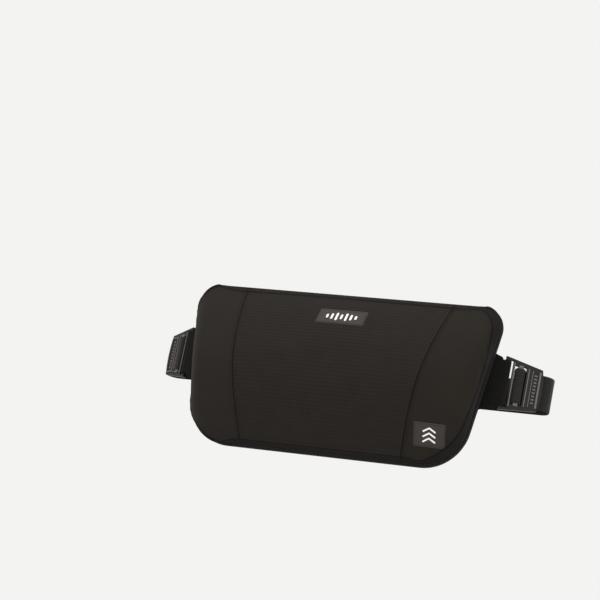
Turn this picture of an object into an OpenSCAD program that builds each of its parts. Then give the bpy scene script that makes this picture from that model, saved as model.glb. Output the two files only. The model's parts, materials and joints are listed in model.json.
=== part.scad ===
// Lumbar support cushion with a strap that goes round a chair back.
// Upright: +Z up, +X to the right seen from the front, the front bulges towards -Y.
// The flat back face lies in the plane y = 0, with the origin at its centre.

/* [Cushion] */
// Width across the top edge
top_w = 366; // [330:1:400]
// Width across the bottom edge
bottom_w = 314; // [290:1:330]
// Height from the bottom edge to the top edge
height = 182; // [160:1:200]
// Greatest depth, at the middle of the front
depth_mid = 50; // [40:1:65]
// Depth beside the left and right edges, at mid height
depth_side = 35; // [28:1:40]
// Depth all round the rim, where the front cover meets the back
rim_depth = 10; // [9:0.5:14]
// Radius of the two top corners
corner_top = 24; // [15:1:35]
// Radius of the two bottom corners
corner_bottom = 50; // [30:1:55]
// Half width of the ribbed centre panel at the top edge
seam_top = 124; // [110:1:135]
// Half width of the ribbed centre panel at the bottom edge
seam_bottom = 94; // [80:1:105]

/* [Cover and filling] */
// Thickness of the padded front cover
cover_t = 3; // [2:0.5:4]
// Thickness of the boxing band
band_t = 2.4; // [1.5:0.1:3]
// Thickness of the back panel
back_t = 2; // [1:0.5:2.5]
// Depth at which the memory foam starts
memory_from = 27; // [22:1:32]

/* [Strap] */
// Width of the webbing
web_w = 38; // [34:1:40]
// Thickness of the webbing
web_t = 1.6; // [1.2:0.1:1.8]
// Height of the strap's centre line above the origin
strap_z = 12; // [0:1:20]
// Depth of the rear run of the strap, behind the back face
rear_y = 53.4; // [50:0.1:60]

/* [Side buckle] */
// Length of the plate from its hinge bar to its outer edge
plate_len = 42; // [40:1:46]
// Thickness of the plate
plate_t = 4; // [3.5:0.1:4.2]
// Angle at which the strap pulls the plate back
plate_tilt = 34; // [26:1:36]
// Distance of the hinge bar from the middle of the cushion
hinge_x = 189; // [187:1:192]

/* [Zip] */
// Length of the zip opening in the back panel
zip_len = 210; // [160:5:220]
// Distance between neighbouring teeth
tooth_pitch = 3; // [2.5:0.5:4]
// Height of the zip above the origin
zip_z = -66; // [-70:1:-45]

/* [Hidden] */

$fn = 48;
half_h = height / 2;
// Clearance between a hard part and the soft part beside it
gap = 0.3;
// Rows from the top edge to the bottom edge, and columns across each panel
rows = 30;
center_cols = 14;
side_cols = 7;
// Width over which the front turns down to the rim at each side
shoulder = 16;
// Slope of the left and right edges
taper = (top_w - bottom_w) / 2 / height;
taper_angle = atan(taper);
hinge_y = 3;

fabric = [0.20, 0.18, 0.165];
ribbed = [0.15, 0.135, 0.12];
webbing = [0.06, 0.06, 0.06];
plastic = [0.10, 0.10, 0.10];
foam = [0.86, 0.84, 0.74];
metal = [0.25, 0.25, 0.26];

// ---------------------------------------------------------------- cushion shape

// Half width of the outline at height z, before its corners are rounded
function half_w(z) = (top_w + bottom_w) / 4 + taper * z;

// Half width of the centre panel at height z
function seam_x(z) = (seam_top + seam_bottom) / 2 + (seam_top - seam_bottom) * z / height;

// Fullness from 1 at mid height to 0 at the top and bottom edges
function fullness(v) = pow(max(0, 1 - pow(min(1, abs(v)), 1.8)), 1.1);

// Depth of the front at mid height, least at the two sides
function crown(x, z) = depth_mid - (depth_mid - depth_side) * pow(min(1, abs(x) / half_w(z)), 2.5);

// How far the front has turned down to the rim, d inside the side edge
function shoulder_turn(d) = sqrt(max(0, 1 - pow(1 - min(1, d / shoulder), 2)));

// y of the front surface, a distance inset under the outside
function front_y(x, z, inset, turn) =
    -(rim_depth + (crown(x, z) - inset - rim_depth) * fullness(z / (half_h - inset)) * turn);

// Point at fraction t along an arc from angle a to angle b
function arc_point(centre, r, a, b, t) =
    [centre[0] + r * cos(a + (b - a) * t), centre[1] + r * sin(a + (b - a) * t)];

// The right edge from the top edge down to the bottom edge, as an arc, a line and an arc
function edge_point(t, inset) =
    let (
        h = half_h - inset,
        slack = inset / cos(taper_angle),
        rt = corner_top - inset,
        rb = corner_bottom - inset,
        turn_top = 90 + taper_angle,
        turn_bottom = 90 - taper_angle,
        cut_top = rt * tan(turn_top / 2),
        cut_bottom = rb * tan(turn_bottom / 2),
        ct = [half_w(h) - slack - cut_top, h - rt],
        cb = [half_w(-h) - slack - cut_bottom, -h + rb],
        arc_top = rt * turn_top * PI / 180,
        arc_bottom = rb * turn_bottom * PI / 180,
        a = [ct[0] + rt * cos(-taper_angle), ct[1] + rt * sin(-taper_angle)],
        b = [cb[0] + rb * cos(-taper_angle), cb[1] + rb * sin(-taper_angle)],
        side = norm(a - b),
        total = arc_top + side + arc_bottom,
        s = t * total
    )
    s <= arc_top ? arc_point(ct, rt, 90, -taper_angle, s / arc_top)
    : s <= arc_top + side ? a + (b - a) * (s - arc_top) / side
    : arc_point(cb, rb, -taper_angle, -90, (s - arc_top - side) / arc_bottom);

// Surface point of the centre panel: u from -1 to 1 across, row i from the top
function center_point(u, i, inset) =
    let (z = (half_h - inset) * (1 - 2 * i / rows), x = u * seam_x(z))
    [x, front_y(x, z, inset, 1), z];

// Surface point of a side panel: side is -1 or 1, s from 0 at the seam to 1 at the edge
function side_point(side, s, i, inset) =
    let (
        z0 = (half_h - inset) * (1 - 2 * i / rows),
        e = edge_point(i / rows, inset),
        x = seam_x(z0) + (e[0] - seam_x(z0)) * s,
        z = z0 + (e[1] - z0) * s
    )
    [side * x, front_y(x, z, inset, shoulder_turn((e[0] - seam_x(z0)) * (1 - s))), z];

function center_grid(inset) =
    [for (i = [0:rows]) for (j = [0:center_cols]) center_point(2 * j / center_cols - 1, i, inset)];

// Columns run from left to right, and crowd together where the front turns down to the rim
function side_grid(side, inset) =
    [for (i = [0:rows]) for (j = [0:side_cols])
        side_point(side, side_position(side > 0 ? j / side_cols : 1 - j / side_cols), i, inset)];

function side_position(f) = 1 - pow(1 - f, 1.6);

function flat_grid(grid, y) = [for (p = grid) [p[0], y, p[2]]];

// Triangles of a sheet of n by m cells, starting at point number k. The cells are cut from
// corner to corner so that the cuts on the right side mirror those on the left.
function sheet(n, m, k, outward, right) =
    [for (i = [0:n - 1]) for (j = [0:m - 1])
        let (
            a = k + i * (m + 1) + j,
            b = a + 1,
            c = a + m + 1,
            d = c + 1,
            cut = right ? [[a, b, c], [b, d, c]] : [[a, b, d], [a, d, c]]
        )
        each outward ? cut : [for (t = cut) [t[2], t[1], t[0]]]];

// Triangles of the rim that joins two equal sheets, the second starting at point k
function rim(n, m, k) =
    let (
        loop = concat(
            [for (j = [0:m - 1]) j],
            [for (i = [0:n - 1]) i * (m + 1) + m],
            [for (j = [0:m - 1]) n * (m + 1) + m - j],
            [for (i = [0:n - 1]) (n - i) * (m + 1)]
        ),
        c = len(loop)
    )
    [for (i = [0:c - 1])
        let (a = loop[i], b = loop[(i + 1) % c])
        each [[a, a + k, b], [b, a + k, b + k]]];

// Solid between an outside sheet and an inside sheet of n by m cells
module slab(outside, inside, m, n = rows, right = false) {
    k = len(outside);
    polyhedron(
        points = concat(outside, inside),
        faces = concat(sheet(n, m, 0, true, right), sheet(n, m, k, false, right), rim(n, m, k)),
        convexity = 4
    );
}

module mirrored(side) {
    mirror([side < 0 ? 1 : 0, 0, 0]) children();
}

// Flat outline of the cushion, drawn in x and z
module outline_2d(inset) {
    right = [for (i = [0:rows]) edge_point(i / rows, inset)];
    left = [for (i = [rows:-1:0]) [-right[i][0], right[i][1]]];
    polygon(concat(right, left));
}

// Extrudes a drawing in x and z from depth y0 to depth y1
module extrude_y(y0, y1) {
    translate([0, y1, 0]) rotate([90, 0, 0]) linear_extrude(y1 - y0) children();
}

// Everything under the cover, down to depth y
module filling(inset, y) {
    slab(center_grid(inset), flat_grid(center_grid(inset), y), center_cols);
    for (side = [-1, 1])
        slab(side_grid(side, inset), flat_grid(side_grid(side, inset), y), side_cols, rows, side > 0);
}

// ---------------------------------------------------------------- cover

module front_center_panel() {
    color(ribbed) slab(center_grid(0), center_grid(cover_t), center_cols);
}

module side_panel(side) {
    color(fabric) slab(side_grid(side, 0), side_grid(side, cover_t), side_cols, rows, side > 0);
}

module boxing_band() {
    color(ribbed) extrude_y(-rim_depth, -back_t) difference() {
        outline_2d(0);
        outline_2d(band_t);
    }
}

// Half width of the zip opening
zip_half_w = 3.2;

module back_panel() {
    color(fabric) extrude_y(-back_t, 0) difference() {
        outline_2d(0);
        translate([-zip_len / 2, zip_z - zip_half_w]) square([zip_len, 2 * zip_half_w]);
    }
}

// ---------------------------------------------------------------- filling

filling_inset = cover_t + gap;
board_front = -(rim_depth - 1);

module stiffener_board() {
    color([0.25, 0.25, 0.27]) extrude_y(board_front, -back_t - gap) outline_2d(filling_inset);
}

module foam_layer(y0, y1) {
    color(foam) intersection() {
        filling(filling_inset, board_front - gap);
        translate([-top_w, y0, -height]) cube([2 * top_w, y1 - y0, 2 * height]);
    }
}

module support_foam() {
    foam_layer(-memory_from, 0);
}

module memory_foam() {
    foam_layer(-2 * depth_mid, -memory_from - 0.1);
}

// ---------------------------------------------------------------- labels

label_t = 0.8;
label_gap = 0.15;
label_cells = 8;
// Centre and size of each label, across and up
front_label_at = [4, 59];
front_label_size = [56, 19];
side_label_at = [127, -60];
side_label_size = [35, 24];

// Patch of the front surface round a centre, lifted by a distance off the cover
function patch_grid(centre, size, lift) =
    [for (i = [0:label_cells]) for (j = [0:label_cells])
        let (
            x = centre[0] + size[0] * (j / label_cells - 0.5),
            z = centre[1] + size[1] * (0.5 - i / label_cells)
        )
        [x, front_y(x, z, 0, 1) - lift, z]];

module label(centre, size) {
    slab(patch_grid(centre, size, label_gap + label_t), patch_grid(centre, size, label_gap),
        label_cells, label_cells);
}

module front_label() {
    color([0.28, 0.25, 0.24]) label(front_label_at, front_label_size);
}

module side_label() {
    color([0.23, 0.21, 0.19]) label(side_label_at, side_label_size);
}

// ---------------------------------------------------------------- zip

// The zip is drawn lying down, in x along it and y across it, with z out of the cushion
tape_t = 0.7;
tape_top = -0.9;
tape_split = 0.3;
chain_t = 1.2;
chain_top = 0.3;
tooth_w = 1.6;
tooth_reach = 3.4;
tooth_shift = 0.35;
stop_w = 2;
// Length at each end of the zip that has no teeth
chain_margin = 7;

module at_zip() {
    translate([0, 0, zip_z]) rotate([-90, 0, 0]) children();
}

// One of the two fabric tapes, starting y0 from the middle of the zip
module zip_tape(y0) {
    color(webbing) at_zip() translate([-zip_len / 2, y0, tape_top - tape_t])
        cube([zip_len, zip_half_w - tape_split, tape_t]);
}

module zip_chain() {
    count = floor((zip_len - 2 * chain_margin) / tooth_pitch);
    color([0.08, 0.08, 0.08]) at_zip() for (i = [0:count - 1])
        translate([
            (i - (count - 1) / 2) * tooth_pitch - tooth_w / 2,
            (i % 2 == 0 ? 1 : -1) * tooth_shift - tooth_reach / 2,
            chain_top - chain_t
        ]) cube([tooth_w, tooth_reach, chain_t]);
}

module zip_stops() {
    color(metal) at_zip() for (side = [-1, 1])
        translate([side * (zip_len / 2 - stop_w) - stop_w / 2, -stop_w, chain_top - chain_t])
            cube([stop_w, 2 * stop_w, chain_t]);
}

slider_x = -zip_len / 2 + 10;
slider_len = 9;
slider_half_w = 3;
slider_h = 3;
slider_bore_half_w = 2.45;
slider_crown = 2.6;
ear_t = 0.9;
ear_w = 3.2;
pin_r = 0.8;
pull_z = slider_crown + 2;
pull_half_w = 1.6;
pull_t = 1.2;
pull_eye_r = 1.7;
pull_neck = 12;
pull_tab = [12, 6];
pull_hole_r = 1.5;

// Saddle over the chain, with two ears and the pin that the pull swings on
module zip_slider() {
    color(metal) at_zip() translate([slider_x, 0, 0]) {
        difference() {
            translate([-slider_len / 2, -slider_half_w, slider_crown - slider_h])
                cube([slider_len, 2 * slider_half_w, slider_h]);
            translate([-slider_len / 2 - 1, -slider_bore_half_w, -slider_h])
                cube([slider_len + 2, 2 * slider_bore_half_w, slider_h + chain_top + 0.5]);
        }
        for (y = [-slider_half_w, slider_half_w - ear_t])
            translate([-ear_w / 2, y, slider_crown - 0.1])
                cube([ear_w, ear_t, pull_z - slider_crown + pin_r + 0.3]);
        translate([0, -slider_half_w, pull_z]) rotate([-90, 0, 0])
            cylinder(h = 2 * slider_half_w, r = pin_r);
    }
}

// Eye, neck and finger tab, stored flat along the zip
module zip_pull() {
    color(metal) at_zip() translate([slider_x, 0, pull_z]) {
        rotate([90, 0, 0]) translate([0, 0, -pull_half_w]) linear_extrude(2 * pull_half_w)
            difference() {
                union() {
                    circle(r = pull_eye_r);
                    translate([0, -pull_t / 2]) square([pull_neck + 0.5, pull_t]);
                }
                circle(r = pin_r + 0.06);
            }
        difference() {
            translate([pull_neck, -pull_tab[1] / 2, -pull_t / 2])
                cube([pull_tab[0], pull_tab[1], pull_t]);
            translate([pull_neck + pull_tab[0] - 2.5 * pull_hole_r, 0, -pull_t])
                cylinder(h = 2 * pull_t, r = pull_hole_r);
        }
    }
}

// ---------------------------------------------------------------- side buckles

// Hinge bar, and the plate's half heights at its base and at its bowed outer edge
bar_r = 2.2;
bar_half = 26;
base_half = 29.5;
tip_half = 23;
arm_end = -2.6;
bow_r = 95;
// Start and end of the window round the hinge bar and of the two webbing slots
window_end = 6.2;
slot_a = [8.1, 12.3];
slot_b = [17.3, 21.7];
slot_half = 21.5;
// The webbing bar between the slots stands proud of the plate's front
web_bar_x = (slot_a[1] + slot_b[0]) / 2;
web_bar_w = slot_b[0] - slot_a[1];
web_bar_lift = 1.2;
front_n = -plate_t / 2;

// Places a part drawn from the hinge bar outwards along the plate
module at_hinge(side) {
    mirrored(side) translate([hinge_x, hinge_y, strap_z]) rotate([0, 0, plate_tilt]) children();
}

// Outline of the plate, from the arms of its hinge bar to its bowed outer edge
module plate_2d() {
    half_angle = asin(tip_half / bow_r);
    bow = [for (f = [-1:1 / 6:1.001]) [
        plate_len - bow_r + bow_r * cos(half_angle * f),
        bow_r * sin(half_angle * f)
    ]];
    polygon(concat([[arm_end, base_half], [arm_end, -base_half]], bow));
}

// A raised rib on the plate's front face, x out from the hinge bar
module rib(x, w, half, lift) {
    translate([x - w / 2, front_n - lift, -half]) cube([w, lift + 0.5, 2 * half]);
}

// Column of short raised bars that gives a finger some grip
module grip_column(x) {
    bars = 9;
    bar = [3.2, 1, 1.6];
    half = 15;
    for (i = [0:bars - 1])
        translate([x - bar[0] / 2, front_n - bar[1] / 2, half * (2 * i / (bars - 1) - 1) - bar[2] / 2])
            cube(bar);
}

module through_slot(x0, x1, half) {
    translate([x0, -2 * plate_t, -half]) cube([x1 - x0, 4 * plate_t, 2 * half]);
}

// The moulded plate that both side buckles share
module plate() {
    difference() {
        union() {
            extrude_y(-plate_t / 2, plate_t / 2) plate_2d();
            rib(web_bar_x, web_bar_w, slot_half + 1, web_bar_lift);
        }
        through_slot(2 * arm_end, window_end, bar_half);
        through_slot(slot_a[0], slot_a[1], slot_half);
        through_slot(slot_b[0], slot_b[1], slot_half);
    }
    translate([0, 0, -bar_half - 1]) cylinder(h = 2 * bar_half + 2, r = bar_r);
    rib((window_end + slot_a[0]) / 2, 1.2, 24, 0.9);
}

// Raised border round the outer end of the left plate
module plate_border() {
    lift = 0.9;
    border_w = 1.3;
    start = 27;
    half = 20.5;
    extrude_y(front_n - lift, front_n + 0.5) difference() {
        intersection() {
            translate([-1.6, 0]) plate_2d();
            translate([start, -half]) square([plate_len, 2 * half]);
        }
        intersection() {
            translate([-1.6 - border_w, 0]) plate_2d();
            translate([start - 1, border_w - half]) square([plate_len, 2 * (half - border_w)]);
        }
    }
}

// Thin raised frame round the slots of the left plate, open towards the hinge
module slot_frame() {
    lift = 0.7;
    line_w = 0.9;
    x0 = 9.5;
    x1 = 23.3;
    half = 21.6;
    extrude_y(front_n - lift, front_n + 0.5) difference() {
        translate([x0, -half]) square([x1 - x0, 2 * half]);
        translate([x0 - 1, line_w - half]) square([x1 - x0 - line_w + 1, 2 * (half - line_w)]);
    }
}

module side_buckle_left() {
    color(plastic) at_hinge(-1) {
        plate();
        plate_border();
        slot_frame();
        rib(26.4, 1.2, 21, 0.9);
        grip_column(32);
    }
}

module side_buckle_right() {
    color(plastic) at_hinge(1) {
        plate();
        rib(24, 1.2, 21, 0.8);
        rib(28.6, 0.8, 20, 0.4);
        grip_column(32.4);
        rib(37, 2, 20, 0.9);
    }
}

// Fabric tab: inner and outer radius of its loop, and its edges above and below the strap
loop_in = bar_r + 0.15;
loop_out = loop_in + 1.9;
tab_t = 2.6;
tab_low = -33;
tab_high = 34;
tab_narrowing = 5.5;
tab_back_y = -0.6;

// Fabric tab sewn to the cushion's edge and looped round the plate's hinge bar
module anchor_tab(side) {
    neck_x = hinge_x - loop_out - 1.5;
    loop_end_x = hinge_x + loop_out + 1;
    loop_half = bar_half - 0.8;
    inner_x = hinge_x - 30;
    color(webbing) mirrored(side) translate([0, 0, strap_z]) intersection() {
        translate([0, 0, tab_low]) linear_extrude(tab_high - tab_low) difference() {
            union() {
                polygon([[inner_x, tab_back_y - tab_t], [hinge_x, hinge_y - loop_out],
                    [hinge_x, hinge_y], [hinge_x - 3, hinge_y + 1], [inner_x, tab_back_y]]);
                translate([hinge_x, hinge_y]) circle(r = loop_out);
            }
            translate([hinge_x, hinge_y]) circle(r = loop_in);
        }
        extrude_y(-rear_y, rear_y) polygon([
            [half_w(strap_z + tab_high) + gap, tab_high],
            [half_w(strap_z + tab_low) + gap, tab_low],
            [neck_x, tab_low + tab_narrowing],
            [neck_x, -loop_half],
            [loop_end_x, -loop_half],
            [loop_end_x, loop_half],
            [neck_x, loop_half],
            [neck_x, tab_high - tab_narrowing]
        ]);
    }
}

// ---------------------------------------------------------------- strap

// Centre of the clip, and distance of its two webbing bars from that centre
clip_y = 51;
clip_bar_x = 34;
clip_bar_r = 2;
loop_r = 3.2;

// A point p along the plate and n behind it, in x and y of the cushion
function on_plate(p, n) = [
    hinge_x + p * cos(plate_tilt) - n * sin(plate_tilt),
    hinge_y + p * sin(plate_tilt) + n * cos(plate_tilt)
];

// Distances behind the plate of the webbing's two layers, and in front of it over its bar
main_n = plate_t / 2 + 1.8;
tail_n = main_n + web_t + 0.4;
over_n = front_n - web_bar_lift - web_t / 2 - 0.35;
slot_a_x = (slot_a[0] + slot_a[1]) / 2;
slot_b_x = (slot_b[0] + slot_b[1]) / 2;
web_leaves = plate_len + 4;
web_tail = plate_len + 2;
// Size of the webbing's bends along the plate and across it, and its lean in a slot
bend_along = 1.8;
bend_across = 1.4;
lean = 0.2;
slot_lead = 5;

// The bend round the edge of the chair back
wrap_start = on_plate(web_leaves, main_n);
wrap_r = (rear_y - wrap_start[1]) / (1 + cos(plate_tilt));
wrap_centre = wrap_start + wrap_r * [-sin(plate_tilt), cos(plate_tilt)];
wrap = [for (h = [180:-10:plate_tilt]) wrap_centre + wrap_r * [sin(h), -cos(h)]];

// Along the strap from the clip: the sewn layer's cut end, where the two layers meet,
// and where they part to go round the clip's bar
sewn_end_x = 84;
layers_meet_x = 58;
layers_part_x = 44;
sewn_y = rear_y - web_t - 0.05;
clip_loop = [for (a = [270:-18:90]) [clip_bar_x + loop_r * cos(a), clip_y + loop_r * sin(a)]];

through_plate = [
    wrap_start,
    on_plate(slot_b_x + slot_lead, main_n),
    on_plate(slot_b_x + bend_across, main_n - bend_across / 1.5),
    on_plate(slot_b_x, 0),
    on_plate(slot_b_x - lean, over_n + bend_across),
    on_plate(slot_b_x - bend_along, over_n),
    on_plate(slot_a_x + bend_along, over_n),
    on_plate(slot_a_x + lean, over_n + bend_across),
    on_plate(slot_a_x, 0),
    on_plate(slot_a_x + lean, tail_n - bend_along),
    on_plate(slot_a_x + bend_along, tail_n),
    on_plate(web_tail, tail_n)
];

// Centre line of the right half of the strap, from its sewn end at the clip to its free tail
route = concat(
    [[sewn_end_x, sewn_y], [layers_meet_x, sewn_y], [layers_part_x, clip_y - loop_r]],
    clip_loop,
    [[layers_part_x, clip_y + loop_r], [layers_meet_x, rear_y]],
    wrap,
    through_plate
);

// Unit normal of the route r at point i
function route_normal(r, i) =
    let (
        a = r[max(0, i - 1)],
        b = r[min(len(r) - 1, i + 1)],
        d = (b - a) / norm(b - a)
    )
    [-d[1], d[0]];

// Drawing in x and y of a ribbon of thickness t along a route
module ribbon_2d(r, t) {
    n = len(r);
    polygon(concat(
        [for (i = [0:n - 1]) r[i] + route_normal(r, i) * t / 2],
        [for (i = [n - 1:-1:0]) r[i] - route_normal(r, i) * t / 2]
    ));
}

module strap(side) {
    color(webbing) mirrored(side) translate([0, 0, strap_z - web_w / 2])
        linear_extrude(web_w) ribbon_2d(route, web_t);
}

// ---------------------------------------------------------------- clip

clip_half = 23;
clip_t = 11;
wall = 1.8;
// Along the strap: end of each half, start of its solid part, mouth of the socket
clip_end_x = 37;
clip_block_x = 26;
mouth_x = 8;
socket_end_x = -20;
latch_window = [-15, 0];
arm_t = 2.6;
tongue_half = 5;
tongue_tip = -14;
prong_root_x = 11;
prong_z = 15;
prong_half_t = 3.2;
root_r = 1.8;
// Along a prong from the mouth: its barb's edges, its nose and its tip
barb_x = [-0.6, -3.6];
nose_x = -14;
prong_tip_x = -16.5;
prong_arm = 1.5;
prong_barb_root = 2.4;
barb_proud = 0.6;
pocket_low = 3.2;
pocket_h = 5.6;

module at_clip() {
    translate([0, clip_y, strap_z]) children();
}

// A block across the clip, from x0 to x1, of half height half and thickness t
module clip_block(x0, x1, half, t) {
    translate([x0, -t / 2, -half]) cube([x1 - x0, t, 2 * half]);
}

// End of the clip's right half: two arms and the bar that the webbing loops round
module web_end() {
    difference() {
        clip_block(clip_block_x, clip_end_x, clip_half, clip_t);
        clip_block(clip_block_x - 1, clip_end_x + 1, clip_half - arm_t, 2 * clip_t);
    }
    translate([clip_bar_x, 0, -clip_half + 1]) cylinder(h = 2 * clip_half - 2, r = clip_bar_r);
}

module clip_female() {
    color(plastic) at_clip() {
        difference() {
            clip_block(-clip_block_x, mouth_x, clip_half, clip_t);
            clip_block(socket_end_x, mouth_x + 1, clip_half - wall, clip_t - 2 * wall);
            clip_block(latch_window[0], latch_window[1], clip_half + 1, clip_t - 2 * wall);
        }
        mirror([1, 0, 0]) web_end();
    }
}

// Room in the male half for a prong's root and its swing
module prong_pocket() {
    pocket_t = 2 * prong_half_t + 2 * gap;
    translate([prong_root_x, -pocket_t / 2, prong_z]) rotate([-90, 0, 0])
        cylinder(h = pocket_t, r = root_r + 0.08);
    translate([mouth_x - 1, -pocket_t / 2, prong_z - pocket_low])
        cube([prong_root_x - mouth_x + 1, pocket_t, pocket_h]);
}

module clip_male() {
    color(plastic) at_clip() {
        difference() {
            clip_block(mouth_x + gap, clip_block_x, clip_half, clip_t);
            prong_pocket();
            mirror([0, 0, 1]) prong_pocket();
        }
        clip_block(tongue_tip, mouth_x + 1, tongue_half, prong_half_t);
        web_end();
    }
}

// Springy arm with the barb that latches in the female half's side window
module clip_prong(side) {
    barb_z = clip_half + barb_proud;
    color(plastic) at_clip() mirror([0, 0, side < 0 ? 1 : 0])
        extrude_y(-prong_half_t, prong_half_t) union() {
            translate([prong_root_x, prong_z]) circle(r = root_r);
            polygon([
                [prong_root_x, prong_z - prong_arm],
                [prong_root_x, prong_z + prong_arm],
                [barb_x[0] - 0.4, prong_z + prong_barb_root],
                [barb_x[0], barb_z],
                [barb_x[1], barb_z],
                [nose_x, prong_z + root_r],
                [prong_tip_x, prong_z - barb_proud],
                [nose_x, prong_z - root_r]
            ]);
        }
}

front_center_panel();
side_panel(-1);  // side_panel_left
side_panel(1);  // side_panel_right
boxing_band();
back_panel();
stiffener_board();
support_foam();
memory_foam();
zip_tape(-zip_half_w);  // zip_tape_upper
zip_tape(tape_split);  // zip_tape_lower
zip_chain();
zip_stops();
zip_slider();
zip_pull();
front_label();
side_label();
anchor_tab(-1);  // anchor_tab_left
anchor_tab(1);  // anchor_tab_right
side_buckle_left();
side_buckle_right();
strap(-1);  // strap_left
strap(1);  // strap_right
clip_female();
clip_male();
clip_prong(1);  // clip_prong_upper
clip_prong(-1);  // clip_prong_lower
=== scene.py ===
import json
import math

import bpy
import numpy as np
from mathutils import Matrix, Vector
from mathutils.bvhtree import BVHTree


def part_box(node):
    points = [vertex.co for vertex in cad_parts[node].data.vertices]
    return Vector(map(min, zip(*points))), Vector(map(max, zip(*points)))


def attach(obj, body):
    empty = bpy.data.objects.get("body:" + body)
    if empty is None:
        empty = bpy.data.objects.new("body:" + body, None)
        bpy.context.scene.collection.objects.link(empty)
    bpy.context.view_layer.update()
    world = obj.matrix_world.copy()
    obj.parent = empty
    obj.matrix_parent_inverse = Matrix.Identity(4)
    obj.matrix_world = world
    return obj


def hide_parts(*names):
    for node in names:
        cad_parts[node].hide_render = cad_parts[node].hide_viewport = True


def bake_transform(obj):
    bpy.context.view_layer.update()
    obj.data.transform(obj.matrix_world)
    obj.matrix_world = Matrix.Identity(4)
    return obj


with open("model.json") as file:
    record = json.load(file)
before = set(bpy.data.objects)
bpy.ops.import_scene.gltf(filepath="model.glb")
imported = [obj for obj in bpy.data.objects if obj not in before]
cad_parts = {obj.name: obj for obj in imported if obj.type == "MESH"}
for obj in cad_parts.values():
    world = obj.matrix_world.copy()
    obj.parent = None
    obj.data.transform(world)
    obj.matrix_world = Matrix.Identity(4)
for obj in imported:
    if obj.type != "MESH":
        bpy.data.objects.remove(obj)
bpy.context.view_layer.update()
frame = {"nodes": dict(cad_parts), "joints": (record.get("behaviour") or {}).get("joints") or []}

# ------------------------------------------------------------------ sizes, in metres
# Upright: +Z up, +X to the right seen from the front. The front bulges towards -Y and the
# back face lies in y = 0.
MM = 0.001
TOP_W, BOTTOM_W = 366 * MM, 314 * MM
HALF_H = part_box("back_panel")[1].z
DEPTH_MID, DEPTH_SIDE = 50 * MM, 35 * MM
RIM = -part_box("boxing_band")[0].y
BACK_T = -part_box("boxing_band")[1].y
CORNER_TOP, CORNER_BOTTOM = 24 * MM, 50 * MM
SEAM_TOP, SEAM_BOTTOM = 124 * MM, 94 * MM
SHOULDER = 16 * MM
TAPER = (TOP_W - BOTTOM_W) / 2 / (2 * HALF_H)
TAPER_ANGLE = math.atan(TAPER)

ROWS, CENTER_COLS, SIDE_COLS = 44, 26, 12
START_INSET = 1.2 * MM
SWELL_CAP = 5 * MM
SWELL_START = 16 * MM
RIB_PITCH = 4.25 * MM
RIB_HEIGHT = 0.3 * MM
KNIT_PITCH = 2.4 * MM
SEAM_DIP = 1.3 * MM
SEAM_REACH = 3.2 * MM
COVER_T = 1.8 * MM

# Gusset that wraps on to the front: its width on each side and its groove, and the width of the painted shade
# along the long seams
GUSSET_TOP, GUSSET_LEFT, GUSSET_RIGHT, GUSSET_BOTTOM = 8.5 * MM, 5 * MM, 12.5 * MM, 9 * MM
GUSSET_GROOVE = 1.1 * MM
SEAM_SHADE_WIDTH = 0.9 * MM
CREASE_RIGHT, CREASE_LEFT = 1.0 * MM, 0.15 * MM

# Mesh band and back panel
BAND_BULGE = 0.6 * MM
CHANNEL = 11 * MM
EPS = 0.01 * MM

STRAP_LOW, STRAP_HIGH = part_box("strap_left")[0].z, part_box("strap_left")[1].z
STRAP_Z = (STRAP_LOW + STRAP_HIGH) / 2
JOINTS = {j["name"]: j for j in frame["joints"]}


# ------------------------------------------------------------------ cushion shape

def half_w(z):
    """Half width of the outline at height z, before its corners are rounded."""
    return (TOP_W + BOTTOM_W) / 4 + TAPER * z


def seam_x(z):
    """Half width of the centre panel at height z."""
    return (SEAM_TOP + SEAM_BOTTOM) / 2 + (SEAM_TOP - SEAM_BOTTOM) * z / (2 * HALF_H)


def fullness(v):
    """1 at mid height, 0 at the top and bottom edges."""
    return np.maximum(0, 1 - np.minimum(1, np.abs(v)) ** 1.8) ** 1.1


def crown(x, z):
    """Depth of the front at mid height, least at the two sides."""
    return DEPTH_MID - (DEPTH_MID - DEPTH_SIDE) * np.minimum(1, np.abs(x) / half_w(z)) ** 2.5


def shoulder_turn(d):
    """How far the front has turned down to the rim, d inside the side edge."""
    return np.sqrt(np.maximum(0, 1 - (1 - np.minimum(1, d / SHOULDER)) ** 2))


def front_y(x, z, turn, inset):
    return -(RIM + (crown(x, z) - inset - RIM) * fullness(z / HALF_H) * turn)


def edge_points(t):
    """The right edge from the top edge down to the bottom edge: an arc, a line and an arc."""
    turn_top = math.pi / 2 + TAPER_ANGLE
    turn_bottom = math.pi / 2 - TAPER_ANGLE
    centre_top = np.array([half_w(HALF_H) - CORNER_TOP * math.tan(turn_top / 2), HALF_H - CORNER_TOP])
    centre_bottom = np.array(
        [half_w(-HALF_H) - CORNER_BOTTOM * math.tan(turn_bottom / 2), CORNER_BOTTOM - HALF_H])
    out = np.array([math.cos(TAPER_ANGLE), -math.sin(TAPER_ANGLE)])
    a = centre_top + CORNER_TOP * out
    b = centre_bottom + CORNER_BOTTOM * out
    arc_top, arc_bottom = CORNER_TOP * turn_top, CORNER_BOTTOM * turn_bottom
    side = np.linalg.norm(a - b)
    s = np.asarray(t, float) * (arc_top + side + arc_bottom)
    angle_top = math.pi / 2 - s / CORNER_TOP
    angle_bottom = -TAPER_ANGLE - (s - arc_top - side) / CORNER_BOTTOM
    on_top = centre_top + CORNER_TOP * np.stack([np.cos(angle_top), np.sin(angle_top)], -1)
    on_line = a + (b - a) * ((s - arc_top) / side)[:, None]
    on_bottom = centre_bottom + CORNER_BOTTOM * np.stack([np.cos(angle_bottom), np.sin(angle_bottom)], -1)
    first, last = (s <= arc_top)[:, None], (s > arc_top + side)[:, None]
    return np.where(first, on_top, np.where(last, on_bottom, on_line))


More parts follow.
